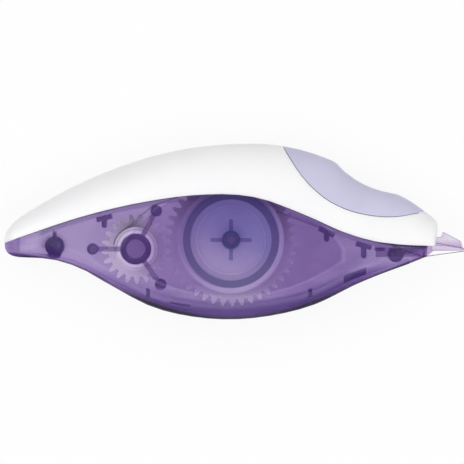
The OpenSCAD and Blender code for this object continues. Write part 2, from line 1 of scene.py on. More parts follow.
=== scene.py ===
"""Looks of a correction tape dispenser: clear violet window, white cover, lavender grip, geared reels.

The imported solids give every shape. Each one is copied, welded and smoothed, and gets its own procedural
finish. Lengths in the dataclasses are in millimetres; Blender works in metres.
"""

import logging
import math
from dataclasses import dataclass, field
from enum import Enum
from typing import Any

import bmesh
import bpy
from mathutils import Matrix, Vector


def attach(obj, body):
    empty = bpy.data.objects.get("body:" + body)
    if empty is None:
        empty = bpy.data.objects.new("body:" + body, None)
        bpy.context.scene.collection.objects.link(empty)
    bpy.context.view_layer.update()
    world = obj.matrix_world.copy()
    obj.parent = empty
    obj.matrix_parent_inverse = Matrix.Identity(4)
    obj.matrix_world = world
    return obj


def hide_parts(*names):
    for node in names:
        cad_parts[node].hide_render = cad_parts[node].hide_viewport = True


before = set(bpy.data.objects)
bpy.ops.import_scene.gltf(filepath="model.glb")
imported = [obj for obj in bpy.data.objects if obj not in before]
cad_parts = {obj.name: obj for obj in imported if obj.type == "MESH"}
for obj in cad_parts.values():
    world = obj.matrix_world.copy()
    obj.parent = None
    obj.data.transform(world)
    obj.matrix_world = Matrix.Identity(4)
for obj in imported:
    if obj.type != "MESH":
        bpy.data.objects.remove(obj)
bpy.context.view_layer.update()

Socket = bpy.types.NodeSocket
Colour = tuple[float, float, float]
Place = tuple[float, float]
Span = tuple[float, float]

MM = 0.001  # metres in a millimetre
WELD_MM = 0.0005  # points closer than this are one
MID_MM = 8.5  # height of the plane in which the two shells meet
TAKE_UP_AXLE_MM = (-25.088, -2.372)  # seen from the supply axle
CLEAR_FACES = 32  # clear faces that light may cross
NOISE_RANGE = (0.3, 0.7)  # where most of a noise's values lie
FINE_DETAIL = 2.0  # octaves of a fine grain
SWIRL_DETAIL = 4.0  # octaves of the swirls in clear plastic
SWIRL_SHARE = 0.3  # share of the swirls where a colour also changes by place
EDGE_AGREES = (0.85, 0.998)  # how far rounded and plain normals agree, at an edge and away from it
EDGE_SAMPLES = 4  # samples of the rounded normal
GRAZE_POWER = 5.0  # power of the slant with which the shine rises

log = logging.getLogger("dispenser")


class Crease(Enum):
    """Angle between two faces, in degrees, from which their edge stays sharp."""

    MOULDED = 32.0
    CUT = 20.0


class Side(Enum):
    """Side of an edge on which a line lies, as the sign of the distance across the case."""

    ABOVE = 1.0
    BELOW = -1.0


class Graph:
    """A material's node tree, with short calls for the nodes that the finishes share."""

    def __init__(self, name: str) -> None:
        """Starts an empty tree with an output.

        Args:
            name: Name of the new material.
        """
        self.material = bpy.data.materials.new(name)
        self.material.use_nodes = True
        self.nodes = self.material.node_tree.nodes
        self.links = self.material.node_tree.links
        self.nodes.clear()
        self.output = self.nodes.new("ShaderNodeOutputMaterial")
        self._place: Any = None

    def add(self, kind: str, values: dict[Any, Any] | None = None, **settings: Any) -> bpy.types.Node:
        """Adds a node.

        Args:
            kind: Blender's name of the node type.
            values: Constants or sockets for the node's inputs, by input name or number.
            settings: Attributes of the node.

        Returns:
            The new node.
        """
        node = self.nodes.new(kind)
        for key, value in settings.items():
            setattr(node, key, value)
        for key, value in (values or {}).items():
            if isinstance(value, Socket):
                self.links.new(value, node.inputs[key])
            else:
                node.inputs[key].default_value = value
        return node

    def place(self) -> Socket:
        """Finds the point on the piece, with one node for the whole tree.

        Returns:
            The socket with the point, in metres in the shared frame.
        """
        if self._place is None:
            self._place = self.add("ShaderNodeTexCoord").outputs["Object"]
        return self._place

    def split(self, vector: Socket) -> tuple[Socket, ...]:
        """Splits a vector into its three parts."""
        return tuple(self.add("ShaderNodeSeparateXYZ", {"Vector": vector}).outputs)

    def noise(self, size_mm: float, detail: float = 3.0, stretch: Colour | None = None) -> Socket:
        """Adds a noise.

        Args:
            size_mm: Size of its blotches.
            detail: Number of finer octaves.
            stretch: Factors on the coordinates, or None for an even noise.

        Returns:
            The socket with the noise's value, from 0 to 1.
        """
        place = self.place()
        if stretch is not None:
            place = self.add("ShaderNodeMapping", {"Vector": place, "Scale": stretch}).outputs["Vector"]
        values = {"Vector": place, "Scale": 1.0 / (size_mm * MM), "Detail": detail}
        return self.add("ShaderNodeTexNoise", values).outputs["Fac"]

    def math(self, operation: str, *values: Any) -> Socket:
        """Works out one number from others.

        Args:
            operation: Blender's name of the operation.
            values: Its constants or sockets, in order.

        Returns:
            The socket with the result.
        """
        return self.add("ShaderNodeMath", dict(enumerate(values)), operation=operation).outputs[0]

    def vector_math(self, operation: str, *values: Any) -> bpy.types.Node:
        """Works out one vector or number from vectors.

        Args:
            operation: Blender's name of the operation.
            values: Its constants or sockets, in order.

        Returns:
            The node, with a vector and a number among its outputs.
        """
        return self.add("ShaderNodeVectorMath", dict(enumerate(values)), operation=operation)

    def product(self, first: Socket, *others: Any) -> Socket:
        """Multiplies numbers.

        Args:
            first: The first number.
            others: The constants or sockets that multiply it.

        Returns:
            The socket with the product.
        """
        for other in others:
            first = self.math("MULTIPLY", first, other)
        return first

    def scaled(self, value: Socket, factor: float, plus: Any) -> Socket:
        """A value times a factor, plus another value."""
        return self.math("MULTIPLY_ADD", value, factor, plus)

    def span(self, value: Socket, low: float, high: float, ends: Span = NOISE_RANGE) -> Socket:
        """Maps a value onto a range of numbers.

        Args:
            value: The socket to map.
            low: Result at the first end.
            high: Result at the second end.
            ends: The two values; a noise's usual range if left out.

        Returns:
            The socket with the mapped number.
        """
        values = {"Value": value, "From Min": ends[0], "From Max": ends[1], "To Min": low, "To Max": high}
        return self.add("ShaderNodeMapRange", values).outputs["Result"]

    def span_mm(self, value: Socket, low: float, high: float, ends: Span) -> Socket:
        """Maps a length onto a range of numbers.

        Args:
            value: The socket with the length, in metres.
            low: Result at the first end.
            high: Result at the second end.
            ends: The two lengths, in millimetres.

        Returns:
            The socket with the mapped number.
        """
        return self.span(value, low, high, (ends[0] * MM, ends[1] * MM))

    def reach(self, axis: Place = (0.0, 0.0)) -> Socket:
        """Finds the distance from an upright axis.

        Args:
            axis: Where the axis stands, in millimetres; on the supply axle if left out.

        Returns:
            The socket with the distance, in metres.
        """
        shift = self.vector_math("SUBTRACT", self.place(), (axis[0] * MM, axis[1] * MM, 0.0))
        flat = self.vector_math("MULTIPLY", shift.outputs[0], (1.0, 1.0, 0.0))
        return self.vector_math("LENGTH", flat.outputs[0]).outputs["Value"]

    def flat(self, ends: Span) -> Socket:
        """Finds the faces that lie flat, front or back.

        Args:
            ends: How upright the face's normal is where the share is none and full.

        Returns:
            The socket with the share.
        """
        rise = self.split(self.add("ShaderNodeTexCoord").outputs["Normal"])[2]
        return self.span(self.math("ABSOLUTE", rise), 0.0, 1.0, ends)

    def edges(self, radius_mm: float) -> Socket:
        """Finds the sharp edges.

        Args:
            radius_mm: How far from an edge it counts.

        Returns:
            The socket with 1 at an edge and 0 away from it.
        """
        soft = self.add("ShaderNodeBevel", {"Radius": radius_mm * MM}, samples=EDGE_SAMPLES)
        plain = self.add("ShaderNodeNewGeometry")
        agree = self.vector_math("DOT_PRODUCT", soft.outputs["Normal"], plain.outputs["Normal"])
        return self.span(agree.outputs["Value"], 1.0, 0.0, EDGE_AGREES)

    def blend(self, factor: Socket, low: Socket | Colour, high: Socket | Colour) -> Socket:
        """Mixes two colours by a factor.

        Args:
            factor: Share of the second colour.
            low: First colour.
            high: Second colour.

        Returns:
            The socket with the mixed colour.
        """
        return self._mix("MIX", factor, low, high)

    def shade(self, factor: Socket, base: Socket | Colour, by: Colour) -> Socket:
        """Multiplies a colour by another one, as far as a factor says.

        Args:
            factor: Share of the change that applies.
            base: Colour to change.
            by: Colour that multiplies it in full.

        Returns:
            The socket with the changed colour.
        """
        return self._mix("MULTIPLY", factor, base, by)

    def _mix(self, how: str, factor: Socket, first: Socket | Colour, second: Socket | Colour) -> Socket:
        """Adds a node that mixes two colours.

        Args:
            how: Blender's name of the way of mixing.
            factor: Share of the second colour.
            first: First colour.
            second: Second colour.

        Returns:
            The socket with the mixed colour.
        """
        pair = [value if isinstance(value, Socket) else (*value, 1.0) for value in (first, second)]
        values = {0: factor, 6: pair[0], 7: pair[1]}
        return self.add("ShaderNodeMix", values, data_type="RGBA", blend_type=how).outputs[2]

    def bump(self, height: Socket, strength: float, depth_mm: float) -> Socket:
        """Adds fine relief.

        Args:
            height: Height of the relief, from 0 to 1.
            strength: Share of the relief that shows.
            depth_mm: Depth of the full relief.

        Returns:
            The socket with the bent normal.
        """
        values = {"Height": height, "Strength": strength, "Distance": depth_mm * MM}
        return self.add("ShaderNodeBump", values).outputs["Normal"]

    def layer(self, share: Any, under: Socket, over: Socket) -> Socket:
        """Lays one surface over another, by a share."""
        return self.add("ShaderNodeMixShader", {0: share, 1: under, 2: over}).outputs["Shader"]

    def show(self, shader: Socket) -> None:
        """Ends the tree with a surface."""
        self.links.new(shader, self.output.inputs["Surface"])

    def surface(self, values: dict[str, Any]) -> None:
        """Ends the tree with one principled surface that has these inputs."""
        self.show(self.add("ShaderNodeBsdfPrincipled", values).outputs["BSDF"])

    def absorb(self, colour: Colour, density: float) -> None:
        """Lets light lose colour on its way through the solid.

        Args:
            colour: Colour that passes.
            density: Loss per metre.
        """
        node = self.add("ShaderNodeVolumeAbsorption", {"Color": (*colour, 1.0), "Density": density})
        self.links.new(node.outputs["Volume"], self.output.inputs["Volume"])


@dataclass(frozen=True)
class BellyShade:
    """One step of the painted shade along the belly, which stands for the longer path through the curved wall
    and for the dark rim that refraction gives.

    It is full up to the first height over the belly's line and gone from the second, and it fades towards the
    tail and the nose between the places given.
    """

    high_mm: Span
    by: Colour
    tail_mm: Span = (-52.0, -46.0)
    nose_mm: Span = (46.0, 52.0)

    def share(self, g: Graph, x: Socket, height: Socket) -> Socket:
        """Finds the share of the step at a place.

        Args:
            g: The material's tree.
            x: Place along the case.
            height: Height over the belly's line.

        Returns:
            The socket with the share.
        """
        along = g.product(g.span_mm(x, 0.0, 1.0, self.tail_mm), g.span_mm(x, 1.0, 0.0, self.nose_mm))
        return g.product(along, g.span_mm(height, 1.0, 0.0, self.high_mm))


@dataclass(frozen=True)
class Boss:
    """A boss with its own colour: its place, the radii where the colour is full and gone, and the colour."""

    at_mm: Place
    r_mm: Span
    core: Colour


@dataclass(frozen=True)
class EdgeLine:
    """A thin line of painted shade along an edge of the case.

    The edge runs through one point with a slope and a bow. The line is full up to the first distance from it
    and gone from the second, on the side given. A little past the edge it ends. Along the case it fades in
    between the places given.
    """

    at_mm: Place
    slope: float
    bow: float
    side: Side
    along_mm: Span
    by: Colour
    wide_mm: Span = (0.25, 0.65)
    past_mm: Span = (-0.6, -0.2)

    def share(self, g: Graph, x: Socket, y: Socket) -> Socket:
        """Finds the share of the line at a place.

        Args:
            g: The material's tree.
            x: Place along the case.
            y: Place across it.

        Returns:
            The socket with the share.
        """
        run = g.math("SUBTRACT", x, self.at_mm[0] * MM)
        bowed = g.scaled(g.product(run, run), self.bow / MM, self.at_mm[1] * MM)
        edge = g.scaled(run, self.slope, bowed)
        away = g.product(g.math("SUBTRACT", y, edge), self.side.value)
        near = g.span_mm(away, 1.0, 0.0, self.wide_mm)
        within = g.span_mm(away, 0.0, 1.0, self.past_mm)
        return g.product(near, within, g.span_mm(x, 0.0, 1.0, self.along_mm))


END_BOSS = (0.38, 0.27, 0.54)
SUPPLY_HUB = Boss((0.0, 0.0), (2.6, 3.0), (0.61, 0.68, 0.76))
TAIL_BOSS = Boss((-46.5, -1.6), (3.0, 3.6), END_BOSS)
NOSE_BOSS = Boss((43.4, -3.75), (2.1, 2.3), END_BOSS)

# Painted shadow in the gap under the cover's edge at the nose.
NOSE_LIP_SHADOW = EdgeLine((52.5, -1.65), 0.0, 0.0075, Side.BELOW, (34.0, 38.0), (0.6, 0.52, 0.66))
# Painted dark rims along the nose's belly, the tail's lower edge and the tail's end.
NOSE_EDGE_SHADE = EdgeLine((31.5, -12.3), 0.399, 0.0, Side.ABOVE, (31.0, 35.0), (0.66, 0.6, 0.7), (0.2, 0.6))
TAIL_EDGE_SHADE = EdgeLine(
    (-52.9, -4.63), -0.016, -0.0153, Side.ABOVE, (-29.0, -34.0), (0.7, 0.64, 0.74), (0.2, 0.6),
)
TAIL_END_SHADE = EdgeLine((-52.9, -4.6), -0.127, 0.0, Side.ABOVE, (-49.0, -53.0), (0.7, 0.62, 0.76), (0.3, 0.8))

# Steps of painted shade along the belly, from broad to narrow.
BELLY_BROAD = BellyShade((3.4, 5.0), (0.875, 0.85, 0.915), (-40.0, -12.0), (34.0, 43.0))
BELLY_NARROW = BellyShade((0.6, 1.5), (0.83, 0.82, 0.845))
BELLY_RIM = BellyShade((0.1, 0.5), (0.6, 0.6, 0.62))


@dataclass(frozen=True)
class CaseShading:
    """How the clear case deepens by place.

    Flat faces near the middle plane, the ends of bosses and ribs, take the core colour. It is deeper at the
    nose and on the two end bosses, where the case is thin, and bluer on the supply hub. The belly's seam and
    its tabs take a paler one. Along the belly a painted shade darkens the case step by step, for the longer
    path through the curved wall and for the dark rim that refraction gives, and thin lines of painted shade
    follow its edges at the nose and the tail; the one under the cover's edge at the nose is a painted
    shadow. Round the reel a painted shade moves colour from the rear shell to the front: the front shell
    darkens the gear's teeth, except at the bottom, and the reel's upper part, and the rear shell lightens by
    as much.

    Attributes:
        painted_shade: Colour that each face multiplies in round the reel: a painted shade on the front shell,
            its inverse on the rear.
        drifts: Whether the shell's tint, with its painted shadow, goes paler towards the tail and the nose.
        core: Tint of a face at the flat ends of ribs and bosses.
        core_nose: The same at the nose.
        tab: The same at the belly's seam.
        pad: Colour that the outermost faces multiply in.
        flat: How upright a face's normal is where its share of the core is none and full.
        core_mm: Distances from the middle plane where the core is full and gone.
        core_nose_mm: Where the nose's core begins and is full.
        bosses: Bosses with a core of their own.
        block_mm: Where the core begins and is full, past the block at the tail's end.
        pad_mm: Distances from the middle plane where the pad colour begins and is full.
        tail_mm: Where the pale tail is full and gone.
        nose_mm: Where the pale nose begins and is full.
        nose_pale: Share of the pale colour at the nose.
        belly_mm: Height of the belly's lowest point.
        belly_bow: Factors on the square and the fourth power in the belly's line.
        thin_mm: Distances from the middle where heights over the belly begin to count double and do.
        seam_ends_mm: Distances from the middle where the seam's tint is full and gone.
        seam_mm: Heights over the belly where the seam's tint is full and gone.
        belly: Steps of the painted shade along the belly.
        lines: Lines of painted shade along the edges.
        shade_on_reel: Share of the painted shade over the reel itself.
        shade_r_mm: Radii between which the painted shade goes from the reel's share to the gear's.
        shade_reel_mm: Heights across the reel where its painted shade begins and is full.
        shade_teeth_mm: Heights across the gear where its painted shade begins and is full.
        shade_left_mm: Where the painted shade begins and is full, coming from the tail.
    """

    painted_shade: Colour
    drifts: bool
    core: Colour = (0.66, 0.60, 0.74)
    core_nose: Colour = (0.58, 0.47, 0.72)
    tab: Colour = (0.92, 0.86, 0.965)
    pad: Colour = (0.93, 0.90, 0.955)
    flat: Span = (0.8, 0.95)
    core_mm: Span = (3.2, 6.5)
    core_nose_mm: Span = (37.0, 39.0)
    bosses: tuple[Boss, ...] = (SUPPLY_HUB, TAIL_BOSS, NOSE_BOSS)
    block_mm: Span = (-51.0, -49.5)
    pad_mm: Span = (8.22, 8.46)
    tail_mm: Span = (-40.0, 20.0)
    nose_mm: Span = (30.0, 45.0)
    nose_pale: float = 0.7
    belly_mm: float = -20.9
    belly_bow: tuple[float, float] = (0.00975, -1.41e-6)
    thin_mm: Span = (30.0, 45.0)
    seam_ends_mm: Span = (46.0, 52.0)
    seam_mm: Span = (4.8, 5.3)
    belly: tuple[BellyShade, ...] = (BELLY_BROAD, BELLY_NARROW, BELLY_RIM)
    lines: tuple[EdgeLine, ...] = (NOSE_LIP_SHADOW, NOSE_EDGE_SHADE, TAIL_EDGE_SHADE, TAIL_END_SHADE)
    shade_on_reel: float = 0.9
    shade_r_mm: Span = (13.0, 14.5)
    shade_reel_mm: Span = (-9.0, 12.0)
    shade_teeth_mm: Span = (-14.6, -11.4)
    shade_left_mm: Span = (-22.0, -18.0)

    def drift(self, g: Graph, swirl: Socket) -> Socket:
        """Makes the rear shell's tint, which holds a painted shadow, paler towards the tail and the nose.

        Args:
            g: The material's tree.
            swirl: Uneven share of the pale colour, from 0 to 1.

        Returns:
            The socket with the share of the pale colour.
        """
        if not self.drifts:
            return swirl
        x = g.split(g.place())[0]
        tail = g.span_mm(x, 1.0, 0.0, self.tail_mm)
        nose = g.span_mm(x, 0.0, self.nose_pale, self.nose_mm)
        return with_swirl(g, swirl, g.math("MAXIMUM", tail, nose))

    def deepen(self, g: Graph, tint: Socket) -> Socket:
        """Deepens the case's colour by place, with painted shade along the belly and the edges and round the
        reel.

        Args:
            g: The material's tree.
            tint: The colour before.

        Returns:
            The socket with the deeper colour.
        """
        x, y, z = g.split(g.place())
        level = g.math("ABSOLUTE", g.math("SUBTRACT", z, MID_MM * MM))
        height = self._height(g, x, y)
        inner = g.product(g.flat(self.flat), g.span_mm(level, 1.0, 0.0, self.core_mm))
        inner = g.product(inner, g.span_mm(x, 0.0, 1.0, self.block_mm))
        tint = g.blend(inner, tint, self._core(g, x, height))
        for step in self.belly:
            tint = g.shade(step.share(g, x, height), tint, step.by)
        # Painted shade over the gear's teeth and the reel.
        tint = g.shade(self._painted_shade_share(g, x, y), tint, self.painted_shade)
        for line in self.lines:
            tint = g.shade(line.share(g, x, y), tint, line.by)
        return g.shade(g.span_mm(level, 0.0, 1.0, self.pad_mm), tint, self.pad)

    def _height(self, g: Graph, x: Socket, y: Socket) -> Socket:
        """Finds the height over the belly's line, counted double at the ends, where the wall is thin.

        Args:
            g: The material's tree.
            x: Place along the case.
            y: Place across it.

        Returns:
            The socket with the height, in metres.
        """
        square = g.product(x, x)
        rise = g.product(square, g.scaled(square, self.belly_bow[1] / MM**3, self.belly_bow[0] / MM))
        height = g.math("SUBTRACT", g.math("SUBTRACT", y, self.belly_mm * MM), rise)
        return g.product(height, g.span_mm(g.math("ABSOLUTE", x), 1.0, 2.0, self.thin_mm))

    def _core(self, g: Graph, x: Socket, height: Socket) -> Socket:
        """Mixes the tint of the flat ends of ribs and bosses.

        Args:
            g: The material's tree.
            x: Place along the case.
            height: Height over the belly's line.

        Returns:
            The socket with the tint.
        """
        core = g.blend(g.span_mm(x, 0.0, 1.0, self.core_nose_mm), self.core, self.core_nose)
        along = g.span_mm(g.math("ABSOLUTE", x), 1.0, 0.0, self.seam_ends_mm)
        core = g.blend(g.product(along, g.span_mm(height, 1.0, 0.0, self.seam_mm)), core, self.tab)
        for boss in self.bosses:
            core = g.blend(g.span_mm(g.reach(boss.at_mm), 1.0, 0.0, boss.r_mm), core, boss.core)
        return core

    def _painted_shade_share(self, g: Graph, x: Socket, y: Socket) -> Socket:
        """Finds the share of the painted shade over the gear's teeth and the reel.

        Args:
            g: The material's tree.
            x: Place along the case.
            y: Place across it.

        Returns:
            The socket with the share.
        """
        out = g.span_mm(g.reach(), 0.0, 1.0, self.shade_r_mm)
        teeth = g.product(out, g.span_mm(y, 0.0, 1.0, self.shade_teeth_mm))
        reel = g.scaled(out, -self.shade_on_reel, self.shade_on_reel)
        reel = g.product(reel, g.span_mm(y, 0.0, 1.0, self.shade_reel_mm))
        return g.product(g.math("ADD", teeth, reel), g.span_mm(x, 0.0, 1.0, self.shade_left_mm))


def with_swirl(g: Graph, swirl: Socket, share: Socket) -> Socket:
    """Mixes a little uneven swirl into a share that changes by place.

    Args:
        g: The material's tree.
        swirl: The uneven share, from 0 to 1.
        share: The share by place, from 0 to 1.

    Returns:
        The socket with the mixed share.
    """
    return g.scaled(swirl, SWIRL_SHARE, g.product(share, 1.0 - SWIRL_SHARE))


@dataclass(frozen=True)
class PaintedLightRing:
    """A ring of more or less scattered light, which paints a lighter or darker ring: its radius, half its
    width and the change.
    """

    r_mm: float
    half_mm: float
    more: float


@dataclass(frozen=True)
class ClearPlastic:
    """Moulded see-through plastic: each face tints what passes, and the solid goes darker where it is thick.

    Attributes:
        name: Name of the material.
        pale: Tint of one face where the plastic is pale.
        deep: Tint of one face where it is deep.
        passes: Colour that the solid lets through.
        density: Loss per metre in the solid.
        rough: Least and most roughness of the shine.
        gloss: Share of the shine, seen straight on and at a grazing angle.
        haze: Share of a face that scatters light, as in milky plastic.
        swirl_mm: Size of the swirls of pale and deep.
        swirl_stretch: Factors on the swirls' coordinates.
        grain: Colour that the fine grain multiplies in.
        grain_mm: Size of the grain.
        ripple: Share of the ripples in the shine.
        ripple_mm: Size of the ripples.
        ripple_deep_mm: Their depth.
        bands: Rings of more or less scattered light, which paint lighter or darker rings.
        edge: Tint of one face along its sharp edges.
        edge_mm: How far that tint reaches, or 0 for none.
        low_mm: Two heights across the piece, where it is deep and pale, or None for swirls alone.
        low_tilt: Share of the place along the piece in that height.
        rim_mm: Radii where the change by height is full and at its least, or None.
        rim_low: Share of that change at the rim.
        milk: Pale colour of the scattered light, or None for the face's tint.
        milk_deep: Deep colour of the scattered light.
        case: Shading by place, on the two shells.
    """

    name: str
    pale: Colour
    deep: Colour
    passes: Colour
    density: float
    rough: Span = (0.05, 0.12)
    gloss: Span = (0.025, 0.2)
    haze: float = 0.001
    swirl_mm: float = 9.0
    swirl_stretch: Colour = (1.0, 1.6, 1.0)
    grain: Colour = (0.96, 0.955, 0.97)
    grain_mm: float = 0.5
    ripple: float = 0.05
    ripple_mm: float = 0.6
    ripple_deep_mm: float = 0.02
    bands: tuple[PaintedLightRing, ...] = ()
    edge: Colour = (0.74, 0.66, 0.8)
    edge_mm: float = 0.0
    low_mm: Span | None = None
    low_tilt: float = 0.0
    rim_mm: Span | None = None
    rim_low: float = 0.2
    milk: Colour | None = None
    milk_deep: Colour = (0.72, 0.75, 0.985)
    case: CaseShading | None = None

    def build(self) -> bpy.types.Material:
        """Makes the material.

        Returns:
            The material, with tint and haze under a thin shine.
        """
        g = Graph(self.name)
        swirl = g.noise(self.swirl_mm, SWIRL_DETAIL, self.swirl_stretch)
        bend = g.bump(g.noise(self.ripple_mm, FINE_DETAIL), self.ripple, self.ripple_deep_mm)
        share = self._share(g, g.span(swirl, 0.0, 1.0))
        tint = self._tint(g, share)
        cloud = tint if self.milk is None else g.blend(share, self.milk_deep, self.milk)
        film = g.add("ShaderNodeBsdfTransparent", {"Color": tint})
        milk = g.add("ShaderNodeBsdfDiffuse", {"Color": self._grain(g, cloud), "Normal": bend})
        shine = g.add("ShaderNodeBsdfGlossy", {"Roughness": g.span(swirl, *self.rough), "Normal": bend})
        body = g.layer(self._haze(g), film.outputs["BSDF"], milk.outputs["BSDF"])
        g.show(g.layer(self._gleam(g), body, shine.outputs["BSDF"]))
        g.absorb(self.passes, self.density)
        return g.material

    def _share(self, g: Graph, swirl: Socket) -> Socket:
        """Finds the share of the pale colour by place.

        Args:
            g: The material's tree.
            swirl: Uneven share of the pale colour, from 0 to 1.

        Returns:
            The socket with the share.
        """
        if self.case is not None:
            return self.case.drift(g, swirl)
        if self.low_mm is None:
            return swirl
        x, y, _ = g.split(g.place())
        low = g.span_mm(g.scaled(x, self.low_tilt, y), 0.0, 1.0, self.low_mm)
        if self.rim_mm is not None:
            low = g.product(low, g.span_mm(g.reach(), 1.0, self.rim_low, self.rim_mm))
        return with_swirl(g, swirl, low)

    def _tint(self, g: Graph, share: Socket) -> Socket:
        """Mixes the colour by which one face darkens what passes.

        Args:
            g: The material's tree.
            share: Share of the pale colour, from 0 to 1.

        Returns:
            The socket with the colour.
        """
        tint = self._grain(g, g.blend(share, self.deep, self.pale))
        if self.edge_mm > 0:
            tint = g.blend(g.edges(self.edge_mm), tint, self.edge)
        return tint if self.case is None else self.case.deepen(g, tint)

    def _grain(self, g: Graph, colour: Socket) -> Socket:
        """Multiplies the fine grain into a colour."""
        return g.shade(g.span(g.noise(self.grain_mm, FINE_DETAIL), 1.0, 0.0), colour, self.grain)

    def _haze(self, g: Graph) -> Any:
        """Finds the share of scattered light by place.

        Args:
            g: The material's tree.

        Returns:
            The share, or the socket with it.
        """
        haze: Any = self.haze
        for band in self.bands:
            inside = g.math("COMPARE", g.reach(), band.r_mm * MM, band.half_mm * MM)
            haze = g.scaled(inside, band.more, haze)
        return haze

    def _gleam(self, g: Graph) -> Socket:
        """Finds the share of the shine, which rises towards grazing angles.

        Args:
            g: The material's tree.

        Returns:
            The socket with the share.
        """
        slant = g.add("ShaderNodeLayerWeight").outputs["Facing"]
        return g.span(g.math("POWER", slant, GRAZE_POWER), *self.gloss, (0.0, 1.0))


@dataclass(frozen=True)
class SatinPlastic:
    """Opaque moulded plastic with a fine grain; soft is the share of light that enters its skin."""

    name: str
    light: Colour
    dark: Colour
    rough: Span = (0.3, 0.42)
    grain_mm: float = 0.35
    relief: float = 0.12
    relief_mm: float = 0.03
    mottle_mm: float = 14.0
    soft: float = 0.0
    soft_mm: float = 1.2
    ior: float = 1.46

    def build(self) -> bpy.types.Material:
        """Makes the material.

        Returns:
            The material.
        """
        g = Graph(self.name)
        mottle = g.noise(self.mottle_mm)
        grain = g.noise(self.grain_mm, FINE_DETAIL)
        g.surface({
            "Base Color": g.blend(g.span(mottle, 0.0, 1.0), self.dark, self.light),
            "Roughness": g.span(grain, *self.rough),
            "IOR": self.ior,
            "Subsurface Weight": self.soft,
            "Subsurface Radius": (1.0, 1.0, 1.0),
            "Subsurface Scale": self.soft_mm * MM,
            "Normal": g.bump(grain, self.relief, self.relief_mm),
        })
        return g.material


@dataclass(frozen=True)
class SoftRubber:
    """Matt rubber with a stippled skin."""

    name: str
    light: Colour
    dark: Colour
    mottle_mm: float = 11.0
    rough: Span = (0.55, 0.68)
    rough_mm: float = 2.0
    sheen: float = 0.15
    sheen_rough: float = 0.5
    stipple: float = 0.18
    stipple_mm: float = 0.45
    stipple_deep_mm: float = 0.04
    ior: float = 1.45

    def build(self) -> bpy.types.Material:
        """Makes the material.

        Returns:
            The material.
        """
        g = Graph(self.name)
        mottle = g.noise(self.mottle_mm)
        cells = g.add("ShaderNodeTexVoronoi", {"Vector": g.place(), "Scale": 1.0 / (self.stipple_mm * MM)})
        g.surface({
            "Base Color": g.blend(g.span(mottle, 0.0, 1.0), self.dark, self.light),
            "Roughness": g.span(g.noise(self.rough_mm), *self.rough),
            "IOR": self.ior,
            "Sheen Weight": self.sheen,
            "Sheen Roughness": self.sheen_rough,
            "Normal": g.bump(cells.outputs["Distance"], self.stipple, self.stipple_deep_mm),
        })
        return g.material


@dataclass(frozen=True)
class TapeFinish:
    """Paper or film tape: faint fibres along its run, and turns that show on a roll's sides.

    Attributes:
        name: Name of the material.
        light: Lightest colour.
        dark: Darkest colour.
        rough: Mean roughness.
        rough_half: How far the fibres change it.
        turn_mm: Thickness of one turn on a roll, or 0 for a strip.
        axis: Where the roll's axis stands.
        cut_shade: Colour of the cut edges, a painted shade for the strip's depth seen edge-on, or None for
            the faces' own.
        flat: How upright a face's normal is where its share of that painted shade is none and full.
        fibre_mm: Size of the fibres.
        fibre_stretch: Factors on the fibres' coordinates.
        relief: Share of the relief that shows.
        relief_mm: Depth of the relief.
        ior: Refractive index of the skin.
    """

    name: str
    light: Colour
    dark: Colour
    rough: float
    rough_half: float = 0.06
    turn_mm: float = 0.0
    axis: Place = (0.0, 0.0)
    cut_shade: Colour | None = None
    flat: Span = (0.5, 0.8)
    fibre_mm: float = 0.8
    fibre_stretch: Colour = (1.0, 1.0, 0.25)
    relief: float = 0.2
    relief_mm: float = 0.02
    ior: float = 1.45

    def build(self) -> bpy.types.Material:
        """Makes the material.

        Returns:
            The material.
        """
        g = Graph(self.name)
        fibre = g.noise(self.fibre_mm, stretch=self.fibre_stretch)
        shade = fibre
        if self.turn_mm > 0:
            turns = g.product(g.reach(self.axis), math.tau / (self.turn_mm * MM))
            shade = g.span(g.math("SINE", turns), *NOISE_RANGE, (-1.0, 1.0))
        colour = g.blend(g.span(shade, 0.0, 1.0), self.dark, self.light)
        # Painted shade on the cut edges, for the strip's depth seen edge-on.
        if self.cut_shade is not None:
            colour = g.blend(g.flat(self.flat), colour, self.cut_shade)
        g.surface({
            "Base Color": colour,
            "Roughness": g.span(fibre, self.rough - self.rough_half, self.rough + self.rough_half),
            "IOR": self.ior,
            "Normal": g.bump(shade, self.relief, self.relief_mm),
        })
        return g.material


CLEAR_VIOLET = (0.25, 0.10, 0.52)
CLEAR_LILAC = (0.6, 0.5, 0.8)
# Painted shade round the reel on the front shell; the rear shell takes its inverse, so the window behind is
# unchanged.
FRONT_PAINTED_SHADE = (0.842, 0.8, 0.905)
REAR_SHADE_BALANCE = (1.188, 1.25, 1.105)
WINDOW = ClearPlastic(
    "window_violet", (0.995, 0.985, 0.998), (0.975, 0.96, 0.992), CLEAR_VIOLET, 65.0,
    case=CaseShading(FRONT_PAINTED_SHADE, False),
)
# The rear shell's tint holds the plastic's own violet plus a painted shadow of the floor under the case, so
# it is much deeper than the front's.
WINDOW_REAR_SHADOWED = ClearPlastic(
    "window_violet_rear_painted_shadow", (0.75, 0.67, 0.85), (0.585, 0.49, 0.715), CLEAR_VIOLET, 90.0,
    case=CaseShading(REAR_SHADE_BALANCE, True),
)
COVER = SatinPlastic("cover_white", (0.91, 0.91, 0.915), (0.89, 0.89, 0.90), soft=0.6)
GRIP = SoftRubber("grip_lavender", (0.60, 0.585, 0.75), (0.555, 0.545, 0.72))
TIP = ClearPlastic(
    "tip_lilac", (0.992, 0.985, 0.994), (0.88, 0.81, 0.925), (0.55, 0.4, 0.7), 15.0,
    haze=0.01, edge_mm=0.4, low_mm=(-1.6, 0.2),
)
DRIVE_GEAR = ClearPlastic(
    "gear_drive", (0.96, 0.89, 0.998), (0.92, 0.85, 0.985), CLEAR_LILAC, 60.0,
    rough=(0.35, 0.45), haze=0.85,
)
